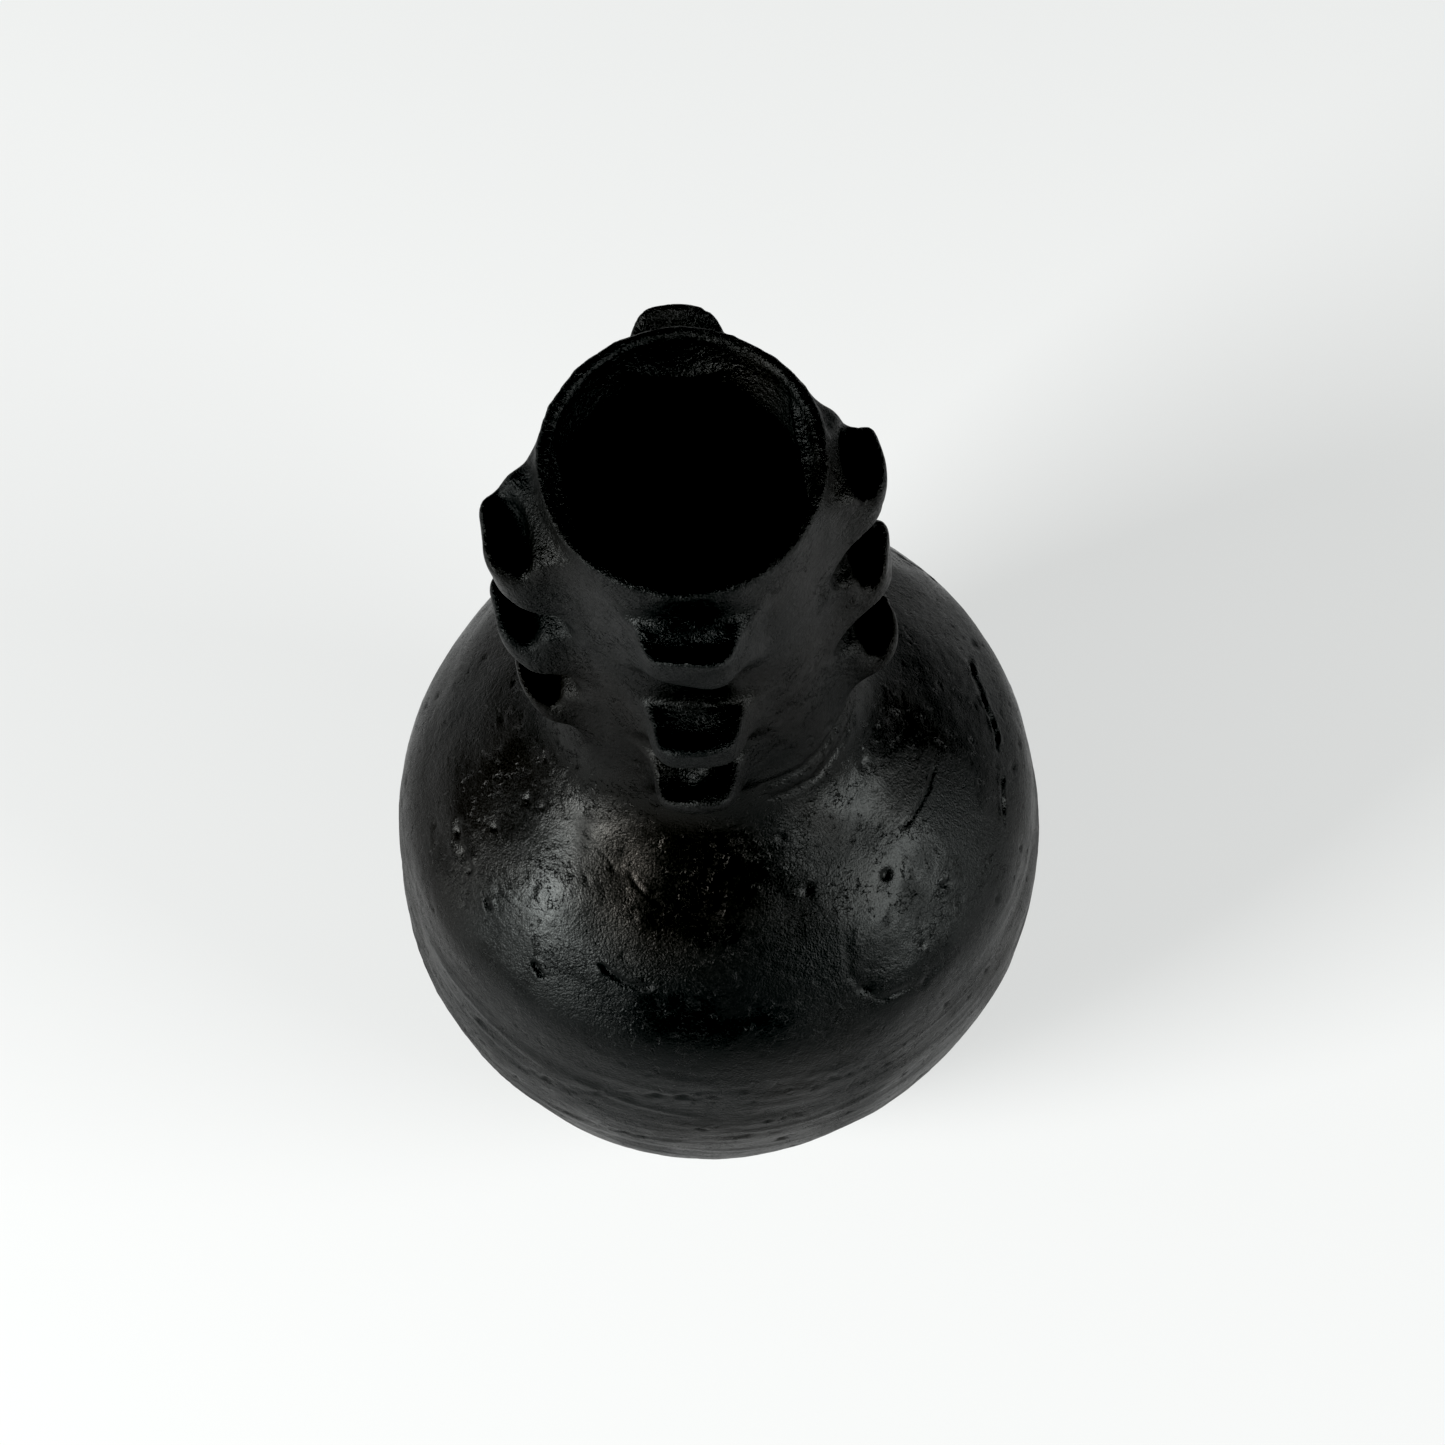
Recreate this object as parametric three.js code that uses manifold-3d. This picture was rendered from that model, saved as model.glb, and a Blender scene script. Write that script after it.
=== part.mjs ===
// Barro negro pot: a coil-built bottle of black smoke-fired clay, with a round belly, a straight neck
// and four vertical crests of thumb-pressed lugs. Millimetres, +Z up, origin at the centre of the foot.
//
// The body is stacked from wall sections: a floor disc, a lower bowl, a belly band and a shoulder dome.
// The neck tube stands on the shoulder, a joint coil seals its root, and a rim band finishes the mouth.
// Each lug is a separate lump of clay pressed onto the outside of the neck.

import * as THREE from "three";
import { mergeVertices } from "three/addons/utils/BufferGeometryUtils.js";
import Module from "manifold-3d";

// ---- driving dimensions ----
const HEIGHT = 340;
const FOOT_RADIUS = 52;
const BELLY_RADIUS = 108;
const MOUTH_RADIUS = 42;
const NECK_ROOT_RADIUS = 44;
const FLOOR_THICKNESS = 9;
const BODY_WALL = 7.5;
const NECK_WALL = 6;
const LIP_WALL = 3.4;
const LEDGE = 1.6; // how far the rim band stands into the bore at its lower edge

// Heights of the joints between the wall sections.
const BOWL_TOP = 80;
const BELLY_TOP = 165;
const SHOULDER_TOP = 200;
const COIL_TOP = 228;
const NECK_TOP = 310;

const SHOULDER_MOUTH_RADIUS = 54; // outer edge of the shoulder dome at SHOULDER_TOP
const SCARF = 3; // half the rise of the sloping face between two wall sections
const LUTING_GAP = 0.3; // slip layer between a pressed-on piece and the wall behind it
const SEGMENTS = 40;

// The lugs: one crest on each side of the neck, three lugs to a crest. Width and height of the outer face.
const LUG_TIERS = {
  upper: { width: 27, face: 17 },
  middle: { width: 26, face: 13 },
  lower: { width: 24.5, face: 9 },
};
// Where the potter pressed each lug on: azimuth in degrees from +X, height of its tip, radius of its face.
const CRESTS = {
  right: { upper: [7.5, 329, 58.5], middle: [3.5, 285, 59.5], lower: [2, 246, 61] },
  back: { upper: [91.5, 329, 60.5], middle: [91, 285, 60], lower: [91, 246, 60] },
  left: { upper: [194, 329, 61], middle: [194.5, 285, 61], lower: [195, 246, 59] },
  front: { upper: [270.5, 329, 60.5], middle: [270, 282, 60.5], lower: [268, 247, 60.5] },
};
const LUG_SCOOP = 9; // depth of the thumb scoop below the tip edge
const LUG_FLARE = 0.22; // share by which a lug is wider at the neck than at its tip
const LUG_SLICES = 4;

// ---- material ----
function blackClay() {
  return new THREE.MeshStandardMaterial({ color: 0x17181a, roughness: 0.5, metalness: 0 });
}

// ---- wall outlines ----
// The outside of the body as [radius, height], from the edge of the foot to the neck.
const bodyOutline = new THREE.SplineCurve(
  [
    [FOOT_RADIUS, 0],
    [64, 8.5],
    [82, 26],
    [98.5, 52],
    [106.5, 80],
    [BELLY_RADIUS, 108],
    [103.8, 145],
    [92, 165],
    [76, 181],
    [SHOULDER_MOUTH_RADIUS, SHOULDER_TOP],
  ].map(([radius, z]) => new THREE.Vector2(radius, z)),
);

// The point of the body outline at height z. Heights rise along the curve, so halving finds it.
function bodyParameter(z) {
  let low = 0;
  let high = 1;
  for (let i = 0; i < 40; i++) {
    const middle = (low + high) / 2;
    if (bodyOutline.getPoint(middle).y < z) low = middle;
    else high = middle;
  }
  return (low + high) / 2;
}

function bodyRadius(z) {
  return bodyOutline.getPoint(bodyParameter(z)).x;
}

// The inside of the body: the wall is measured square to its slope.
function bodyBore(z) {
  const tangent = bodyOutline.getTangent(bodyParameter(z));
  return bodyRadius(z) - BODY_WALL / Math.max(tangent.y, 0.5);
}

function heightsBetween(from, to, steps) {
  return Array.from({ length: steps + 1 }, (_, i) => from + ((to - from) * i) / steps);
}

// ---- geometry helpers ----
// Revolves a closed outline of [radius, height] pairs, given anticlockwise, about the Z axis.
function revolve(outline) {
  const points = outline.map(([radius, z]) => new THREE.Vector2(radius, z));
  if (outline[0][0] > 0) points.push(points[0].clone());
  return new THREE.LatheGeometry(points, SEGMENTS).rotateX(Math.PI / 2);
}

const wasm = await Module();
wasm.setup();

function solidOf(geometry) {
  const plain = geometry.clone();
  plain.deleteAttribute("normal");
  plain.deleteAttribute("uv");
  const merged = mergeVertices(plain, 1e-3);
  return new wasm.Manifold(
    new wasm.Mesh({
      numProp: 3,
      vertProperties: merged.attributes.position.array,
      triVerts: new Uint32Array(merged.index.array),
    }),
  );
}

function geometryOf(solid) {
  const mesh = solid.getMesh();
  const geometry = new THREE.BufferGeometry();
  geometry.setAttribute("position", new THREE.BufferAttribute(mesh.vertProperties, 3));
  geometry.setIndex(new THREE.BufferAttribute(mesh.triVerts, 1));
  geometry.computeVertexNormals();
  return geometry;
}

// ---- wall sections ----
function floorDisc() {
  const edge = heightsBetween(0, FLOOR_THICKNESS, 2).map((z) => [bodyRadius(z), z]);
  return revolve([[0, 0], ...edge, [0, FLOOR_THICKNESS]]);
}

// A ring of body wall. Its ends slope down and inwards, so each section laps inside the one below.
function bodySection(bottom, top, bottomScarf, topScarf, steps) {
  const outside = heightsBetween(bottom + bottomScarf, top + topScarf, steps);
  const inside = heightsBetween(top - topScarf, bottom - bottomScarf, steps);
  return revolve([
    ...outside.map((z) => [bodyRadius(z), z]),
    ...inside.map((z) => [bodyBore(z), z]),
  ]);
}

// The last body section ends in a flat ring, which the neck tube and the joint coil stand on.
function shoulderDome() {
  const outside = heightsBetween(BELLY_TOP + SCARF, SHOULDER_TOP, 4);
  const inside = heightsBetween(SHOULDER_TOP - BODY_WALL * 2, BELLY_TOP - SCARF, 2);
  return revolve([
    ...outside.map((z) => [bodyRadius(z), z]),
    [NECK_ROOT_RADIUS - NECK_WALL, SHOULDER_TOP],
    [NECK_ROOT_RADIUS - NECK_WALL + 2, SHOULDER_TOP - BODY_WALL],
    ...inside.map((z) => [bodyBore(z), z]),
  ]);
}

function neckRadius(z) {
  const rise = THREE.MathUtils.smoothstep(z, SHOULDER_TOP, COIL_TOP + 20);
  return THREE.MathUtils.lerp(NECK_ROOT_RADIUS, MOUTH_RADIUS, rise);
}

function neckTube() {
  const outside = [...heightsBetween(SHOULDER_TOP, COIL_TOP + 20, 3), NECK_TOP + SCARF];
  const inside = [NECK_TOP - SCARF, ...heightsBetween(COIL_TOP + 20, SHOULDER_TOP, 3)];
  return revolve([
    ...outside.map((z) => [neckRadius(z), z]),
    ...inside.map((z) => [neckRadius(z) - NECK_WALL, z]),
  ]);
}

// The joint coil, smeared into a hollow fillet between the neck tube and the shoulder dome.
function coilOutline() {
  const fillet = new THREE.QuadraticBezierCurve(
    new THREE.Vector2(SHOULDER_MOUTH_RADIUS, SHOULDER_TOP),
    new THREE.Vector2(NECK_ROOT_RADIUS + 2.2, SHOULDER_TOP + 9),
    new THREE.Vector2(neckRadius(COIL_TOP) + LUTING_GAP + 0.8, COIL_TOP),
  );
  return fillet.getPoints(4).map((point) => [point.x, point.y]);
}

function neckJointCoil() {
  const inside = heightsBetween(COIL_TOP, SHOULDER_TOP, 2);
  return revolve([
    ...coilOutline(),
    ...inside.map((z) => [neckRadius(z) + LUTING_GAP, z]),
  ]);
}

// The rim band thins to a rounded lip and stands a little into the bore where it laps the neck tube.
function rimBand() {
  const bore = MOUTH_RADIUS - NECK_WALL;
  const lip = new THREE.SplineCurve([
    new THREE.Vector2(MOUTH_RADIUS, HEIGHT - 1.6),
    new THREE.Vector2(MOUTH_RADIUS - LIP_WALL / 2, HEIGHT),
    new THREE.Vector2(MOUTH_RADIUS - LIP_WALL, HEIGHT - 1.6),
  ]);
  return revolve([
    [MOUTH_RADIUS, NECK_TOP + SCARF],
    ...lip.getPoints(4).map((point) => [point.x, point.y]),
    [bore + 0.6, NECK_TOP + 14],
    [bore - LEDGE, NECK_TOP + 3],
    [bore - LEDGE, NECK_TOP - SCARF - 3],
    [bore, NECK_TOP - SCARF],
  ]);
}

// ---- lugs ----
// Everything that a lug is pressed against, grown by the luting gap: neck, rim, coil and shoulder.
const backing = revolve([
  [0, BELLY_TOP],
  ...heightsBetween(BELLY_TOP, SHOULDER_TOP, 4).map((z) => [bodyRadius(z) + LUTING_GAP, z]),
  ...coilOutline().map(([radius, z]) => [radius + LUTING_GAP, z]),
  [neckRadius(COIL_TOP + 20) + LUTING_GAP, COIL_TOP + 20],
  [MOUTH_RADIUS + LUTING_GAP, HEIGHT],
  [0, HEIGHT],
]);

// A lug cut open along the radius: thumb scoop on top, blunt outer face, hollow underside.
function lugOutline(tip, face, reach) {
  const root = MOUTH_RADIUS - 5;
  const outline = new THREE.Shape();
  outline.moveTo(root, tip + 3);
  outline.lineTo(MOUTH_RADIUS + 0.5, tip + 3);
  outline.quadraticCurveTo(MOUTH_RADIUS + 4, tip - 2 * LUG_SCOOP - 3, reach - 2.5, tip);
  outline.quadraticCurveTo(reach - 0.3, tip + 0.3, reach, tip - 2.5);
  outline.lineTo(reach + 0.3, tip - face + 2);
  outline.quadraticCurveTo(reach, tip - face, reach - 3, tip - face - 1);
  outline.quadraticCurveTo(MOUTH_RADIUS + 7, tip - face - 3, MOUTH_RADIUS + 0.5, tip - face - 13);
  outline.lineTo(root, tip - face - 13);
  outline.closePath();
  return outline;
}

// The backing is faceted, so it is turned against the lug's own azimuth before it cuts the lug.
function lug({ width, face }, [azimuth, tip, reach]) {
  const block = new THREE.ExtrudeGeometry(lugOutline(tip, face, reach), {
    depth: width,
    steps: LUG_SLICES,
    bevelEnabled: false,
    curveSegments: 4,
  }).translate(0, 0, -width / 2);
  const position = block.attributes.position;
  for (let i = 0; i < position.count; i++) {
    const inward = (reach - position.getX(i)) / (reach - MOUTH_RADIUS);
    position.setZ(i, position.getZ(i) * (1 + LUG_FLARE * inward * inward));
  }
  block.rotateX(Math.PI / 2);
  const wall = backing.clone().rotateZ(THREE.MathUtils.degToRad(-azimuth));
  return geometryOf(solidOf(block).subtract(solidOf(wall)));
}

// ---- assembly ----
function piece(name, geometry) {
  const mesh = new THREE.Mesh(geometry, blackClay());
  mesh.name = name;
  return mesh;
}

const pot = new THREE.Group();
pot.add(
  piece("floor_disc", floorDisc()),
  piece("lower_bowl", bodySection(FLOOR_THICKNESS, BOWL_TOP, 0, SCARF, 5)),
  piece("belly_band", bodySection(BOWL_TOP, BELLY_TOP, SCARF, SCARF, 5)),
  piece("shoulder_dome", shoulderDome()),
  piece("neck_joint_coil", neckJointCoil()),
  piece("neck_tube", neckTube()),
  piece("rim_band", rimBand()),
);

for (const [side, tiers] of Object.entries(CRESTS)) {
  const crest = new THREE.Group();
  for (const [tier, place] of Object.entries(tiers)) {
    const mesh = piece(`lug_${side}_${tier}`, lug(LUG_TIERS[tier], place));
    mesh.rotation.z = THREE.MathUtils.degToRad(place[0]);
    crest.add(mesh);
  }
  pot.add(crest);
}

export default pot;
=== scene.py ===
"""Barro negro pot: the finished look of a coil-built black clay bottle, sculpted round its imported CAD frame.

The outer skin is one signed distance field (body, neck, lip and lugs, melted together as wet clay is), turned
into a mesh, given the potter's marks, hollowed, and then cut into the pieces that the CAD names. Lengths in the
sculpting part are millimetres in the pot's own frame; meshes are in metres.
"""

import math

import bpy
import numpy as np
from mathutils import Matrix, Vector, kdtree


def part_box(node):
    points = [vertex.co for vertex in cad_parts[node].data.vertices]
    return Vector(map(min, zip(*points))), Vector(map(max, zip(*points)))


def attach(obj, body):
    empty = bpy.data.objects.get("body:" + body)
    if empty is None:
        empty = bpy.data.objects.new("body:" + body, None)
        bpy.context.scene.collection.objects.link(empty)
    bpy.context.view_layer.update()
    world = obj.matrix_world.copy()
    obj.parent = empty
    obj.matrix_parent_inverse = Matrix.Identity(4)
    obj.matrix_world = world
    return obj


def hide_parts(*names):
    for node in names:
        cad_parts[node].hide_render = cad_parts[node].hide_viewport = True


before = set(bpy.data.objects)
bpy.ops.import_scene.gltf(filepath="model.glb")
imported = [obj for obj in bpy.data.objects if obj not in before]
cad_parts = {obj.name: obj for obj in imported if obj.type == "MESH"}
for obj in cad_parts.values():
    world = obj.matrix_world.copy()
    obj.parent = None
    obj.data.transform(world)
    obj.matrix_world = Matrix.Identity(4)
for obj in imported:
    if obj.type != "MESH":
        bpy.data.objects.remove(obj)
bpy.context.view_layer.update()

MM = 0.001


def node_box(node):
    """A CAD node's lowest and highest corners in millimetres."""
    low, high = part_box(node)
    return np.array(low) / MM, np.array(high) / MM


# ---- driving dimensions, from the frame ----
HEIGHT = node_box("rim_band")[1][2]
MOUTH_RADIUS = node_box("rim_band")[1][0]
BELLY_RADIUS = node_box("belly_band")[1][0]
FLOOR_TOP = node_box("floor_disc")[1][2]
NECK_FOOT = node_box("neck_tube")[0][2]
COIL_TOP = node_box("neck_joint_coil")[1][2]
SCARF = 3.0
BOWL_TOP = node_box("lower_bowl")[1][2] - SCARF
BELLY_TOP = node_box("belly_band")[1][2] - SCARF
NECK_TOP = node_box("neck_tube")[1][2] - SCARF

BODY_WALL = 7.5
NECK_WALL = 6.0
LIP_WALL = 3.4
LEDGE_RADIUS = 35.0
LEDGE_TOP = 320.0
LEDGE_BOTTOM = 305.0

# The pot was built by eye: its neck leans, its rim dips to the front, and its belly isn't quite round.
BODY_SHIFT = (4.0, -1.1)
MOUTH_SHIFT = (-4.6, 1.1)
BELLY_SHEAR = 0.018
RIM_DIP = math.tan(math.radians(3.3))
RIM_OVAL = 0.05

GRID_STEP = 1.0

# ---- lugs ----
# Where each lug was pressed on: azimuth, height of its tip, reach, width and height of its face; how much its tip
# slopes and its face turns from one side to the other; how far the thumb's hollow reaches to each side, how far off
# the middle it sits and how far it reaches along the lug; how far the lug's top falls towards the neck; and how much
# its face leans in below the tip.
LUGS = {
    "lug_right_upper": (7.5, 329.5, 58.2, 27.0, 17.0, 0.02, -0.03, 12.5, 0.5, 4.7, -4.5, 0.08),
    "lug_right_middle": (3.5, 285.0, 59.4, 26.0, 13.0, -0.03, 0.04, 13.0, 0.0, 4.5, -4.5, 0.05),
    "lug_right_lower": (2.0, 246.0, 60.5, 24.5, 9.0, 0.03, -0.02, 12.5, -0.5, 4.5, -4.0, 0.05),
    "lug_back_upper": (91.3, 329.0, 57.6, 27.5, 17.0, 0.01, 0.03, 14.0, 0.0, 6.4, 3.0, 0.10),
    "lug_back_middle": (91.0, 285.0, 59.0, 26.5, 13.0, 0.03, -0.03, 13.0, 0.5, 6.4, 3.0, 0.05),
    "lug_back_lower": (91.0, 246.0, 60.0, 25.0, 9.0, -0.02, 0.02, 12.0, 0.0, 6.0, 3.0, 0.05),
    "lug_left_upper": (194.5, 329.0, 61.0, 27.5, 17.5, -0.06, 0.03, 13.0, 1.0, 5.1, -3.5, 0.08),
    "lug_left_middle": (195.0, 285.0, 61.4, 26.5, 13.0, -0.04, -0.04, 12.5, 1.0, 4.9, -3.5, 0.05),
    "lug_left_lower": (195.0, 246.0, 58.2, 25.0, 9.5, -0.04, 0.03, 11.5, 1.0, 4.6, -3.5, 0.05),
    "lug_front_upper": (270.5, 330.5, 57.8, 26.0, 20.0, 0.03, 0.05, 12.5, -0.5, 6.6, 6.0, 0.20),
    "lug_front_middle": (270.0, 282.0, 61.0, 25.5, 13.0, -0.02, -0.02, 11.5, -0.5, 6.4, 7.0, 0.04),
    "lug_front_lower": (268.0, 246.0, 61.5, 24.0, 9.0, 0.05, 0.06, 8.5, -4.5, 6.4, 5.0, 0.10),
}
# Corners that the potter pinched flat: which side of the lug, and how far the flat stands from its middle.
FACETS = {
    LUGS["lug_front_upper"]: ((-1, 3.6), (1, 4.6)),
    LUGS["lug_front_middle"]: ((1, 4.9),),
    LUGS["lug_front_lower"]: ((1, 5.0),),
    LUGS["lug_left_upper"]: ((1, 4.2),),
    LUGS["lug_right_middle"]: ((-1, 5.2),),
}
LUG_FLARE = 0.22
UNDERCUT = math.radians(35)


def steps_between(low, high, value):
    """Smoothly from 0 at low to 1 at high."""
    t = np.clip((value - low) / (high - low), 0, 1)
    return t * t * (3 - 2 * t)


def soft_max(a, b, k):
    h = np.maximum(k - np.abs(a - b), 0) / k
    return np.maximum(a, b) + h * h * k * 0.25


def soft_min(a, b, k):
    return -soft_max(-a, -b, k)


# ---- noise ----
def lattice_noise(points, seed):
    """Smooth noise from -1 to 1, with one fixed random value at each whole-number point."""
    base = np.floor(points).astype(np.int64)
    t = points - base
    t = t * t * t * (t * (t * 6 - 15) + 10)
    total = np.zeros(len(points))
    for corner in np.ndindex(2, 2, 2):
        at = base + corner
        mixed = at[:, 0] * 374761393 + at[:, 1] * 668265263 + at[:, 2] * 1440662683 + seed * 974711
        mixed = ((mixed ^ (mixed >> 13)) * 1274126177) & 0xFFFFFFFF
        mixed = (((mixed ^ (mixed >> 16)) * 2246822519) & 0xFFFFFFFF) ^ (mixed >> 5)
        value = (mixed & 0xFFFFFF) / 0x7FFFFF - 1
        weight = np.prod(np.where(corner, t, 1 - t), axis=1)
        total += value * weight
    return total


def noise(points, size, seed):
    """Noise with features about size millimetres across; size may differ along X, Y and Z."""
    return lattice_noise(points / np.asarray(size, float) + seed * 17.3, seed)


# ---- outline of the outside ----
def smooth_outline(points, samples=40):
    """A Catmull-Rom curve through [radius, height] points, as two arrays."""
    p = np.array(points, float)
    p = np.vstack([2 * p[0] - p[1], p, 2 * p[-1] - p[-2]])
    t = np.linspace(0, 1, samples, endpoint=False)[:, None]
    rows = []
    for a, b, c, d in zip(p, p[1:], p[2:], p[3:]):
        rows.append(
            0.5 * (2 * b + (c - a) * t + (2 * a - 5 * b + 4 * c - d) * t**2 + (3 * b - a - 3 * c + d) * t**3)
        )
    rows.append(p[-2:-1])
    curve = np.vstack(rows)
    return curve[:, 0], curve[:, 1]


OUTLINE = smooth_outline(
    [
        [52, 0],
        [64, 8.5],
        [82, 26],
        [98.5, 52],
        [106.5, 80],
        [BELLY_RADIUS, 108],
        [103.8, 145],
        [92, 165],
        [76, 181],
        [60, 194.5],
        [50.5, 205],
        [46.2, 216],
        [44, 230],
        [42.4, 255],
        [MOUTH_RADIUS, 290],
        [MOUTH_RADIUS, HEIGHT + 10],
    ]
)
TABLE_STEP = 0.25
TABLE_Z = np.arange(-20, HEIGHT + 20, TABLE_STEP)
TABLE_RADIUS = np.interp(TABLE_Z, OUTLINE[1], OUTLINE[0])
TABLE_SQUARE = 1 / np.sqrt(1 + np.gradient(TABLE_RADIUS, TABLE_STEP) ** 2)


def from_table(table, z):
    """table at heights z, between its rows."""
    place = np.clip((z - TABLE_Z[0]) / TABLE_STEP, 0, len(TABLE_Z) - 2)
    row = place.astype(np.int32)
    share = place - row
    return table[row] * (1 - share) + table[row + 1] * share


def outer_radius(z):
    return from_table(TABLE_RADIUS, np.asarray(z, float))


# ---- the hand-built lean ----
def shift_at(z):
    """How far the pot's own axis stands from the frame's axis at height z, in X and Y."""
    t = steps_between(90, HEIGHT + 60, z) / steps_between(90, HEIGHT + 60, HEIGHT)
    return (
        BODY_SHIFT[0] + (MOUTH_SHIFT[0] - BODY_SHIFT[0]) * t,
        BODY_SHIFT[1] + (MOUTH_SHIFT[1] - BODY_SHIFT[1]) * t,
    )


def to_ideal(x, y, z):
    """Frame coordinates to those of an upright, round pot."""
    shift_x, shift_y = shift_at(z)
    rim = steps_between(220, HEIGHT, z)
    y = (y - shift_y) / (1 + RIM_OVAL * rim)
    x = (x - shift_x) - BELLY_SHEAR * y * (1 - steps_between(150, 210, z))
    return x, y, z - RIM_DIP * y * rim


def to_frame(points):
    """The other way round, for cutters: near enough to land within a few tenths of a millimetre."""
    x, y, z = points.T.copy()
    rim = steps_between(220, HEIGHT, z)
    z = z + RIM_DIP * y * rim
    shift_x, shift_y = shift_at(z)
    x = x + BELLY_SHEAR * y * (1 - steps_between(150, 210, z)) + shift_x
    y = y * (1 + RIM_OVAL * rim) + shift_y
    return np.stack([x, y, z], axis=1)


# ---- the field ----
def wall_field(x, y, z):
    """Distance outside the clay of the body, neck and lip. The body is solid up to the ledge in the bore."""
    radius = np.hypot(x, y)
    angle = np.arctan2(y, x)
    outside = (radius - from_table(TABLE_RADIUS, z)) * from_table(TABLE_SQUARE, z)
    top = HEIGHT + 0.8 + 0.35 * np.cos(3 * angle + 0.6) + 0.22 * np.cos(7 * angle + 2.0)
    field = soft_max(outside, z - top, 1.7)
    field = soft_max(field, -z, 4)
    lip = MOUTH_RADIUS - LIP_WALL
    bore = LEDGE_RADIUS + (lip - LEDGE_RADIUS) * steps_between(LEDGE_TOP, HEIGHT - 2, z)
    hollow = np.maximum(radius - bore, LEDGE_BOTTOM - 5 - z)
    return soft_max(field, -hollow, 2.0)


def lug_field(radial, across, z, place):
    azimuth, tip, reach, width, face, slope, turn, hollow, offset, bite, fall, lean = place
    where = np.stack([radial, across, z + 3 * azimuth], axis=-1).reshape(-1, 3)
    radial = radial + 0.9 * noise(where, 11, 31).reshape(radial.shape)
    across = across + 1.1 * noise(where, 12, 32).reshape(radial.shape)
    z = z + 1.0 * noise(where, 13, 33).reshape(radial.shape)
    tip = tip + slope * across
    inward = np.clip((reach - radial) / (reach - MOUTH_RADIUS), 0, 1.2)
    under = (tip - face - z) * math.cos(UNDERCUT) - (reach - radial) * math.sin(UNDERCUT)
    front = radial - reach - turn * across + 0.014 * across * across + lean * (tip - z)
    sides = (np.abs(across) - width / 2 * (1 + LUG_FLARE * inward * inward)) * 0.97
    top = z - tip + fall * inward
    block = soft_max(soft_max(sides, front, 6.5), soft_max(under, top, 3.0), 3.6)
    thumb = np.sqrt(
        ((radial - reach + 3.4 + bite) / bite) ** 2 + ((across - offset) / hollow) ** 2 + ((z - tip - 0.4) / 8.4) ** 2
    )
    hooked = soft_max(block, (1 - thumb) * bite, 4.0)
    for side, cut in FACETS.get(place, ()):
        corner = 0.56 * side * across + 0.50 * (radial - reach) + 0.66 * (z - tip) - cut
        hooked = soft_max(hooked, corner, 0.8)
    return hooked


def lug_axes(place):
    angle = math.radians(place[0])
    return math.cos(angle), math.sin(angle)


def skin_field(x, y, z):
    """The whole outer skin at points of the frame."""
    x, y, z = to_ideal(x, y, z)
    field = wall_field(x, y, z)
    for place in LUGS.values():
        c, s = lug_axes(place)
        radial = x * c + y * s
        across = y * c - x * s
        near = (radial > 34) & (radial < 70) & (np.abs(across) < 26) & (np.abs(z - place[1] + 12) < 27)
        if near.any():
            field[near] = soft_min(field[near], lug_field(radial[near], across[near], z[near], place), 7.0)
    return field


def sample_field(step):
    """The field on a grid round the pot: values, and the grid's lowest corner."""
    side = BELLY_RADIUS + 10
    low = np.array([-side, -side, -4.0])
    axis = [np.arange(low[i], high, step) for i, high in enumerate((side, side, HEIGHT + 8))]
    x, y = np.meshgrid(axis[0], axis[1], indexing="ij")
    values = np.empty((len(axis[0]), len(axis[1]), len(axis[2])), np.float32)
    for k, z in enumerate(axis[2]):
        values[:, :, k] = skin_field(x, y, np.full_like(x, z))
    return values, low


# ---- surface net ----
CORNERS = np.array(list(np.ndindex(2, 2, 2)))
EDGES = [(a, b) for a in range(8) for b in range(a + 1, 8) if np.abs(CORNERS[a] - CORNERS[b]).sum() == 1]


def fill_pinches(values):
    """Fills one corner of each grid square whose corners are inside and outside crosswise, where a net would pinch."""
    for _ in range(3):
        for first, second in ((0, 1), (1, 2), (0, 2)):
            move_first, move_second = np.eye(3, dtype=int)[[first, second]]
            inside = values < 0
            span = np.array(values.shape) - move_first - move_second
            a, b, c, d = (
                inside[tuple(slice(s, s + n) for s, n in zip(start, span))]
                for start in (move_first * 0, move_first, move_first + move_second, move_second)
            )
            crossed = np.argwhere((a == c) & (b == d) & (a != b))
            if len(crossed) == 0:
                continue
            empty = crossed + np.where(a[tuple(crossed.T)][:, None], move_first, 0)
            values[tuple(empty.T)] = -1e-3


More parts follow.
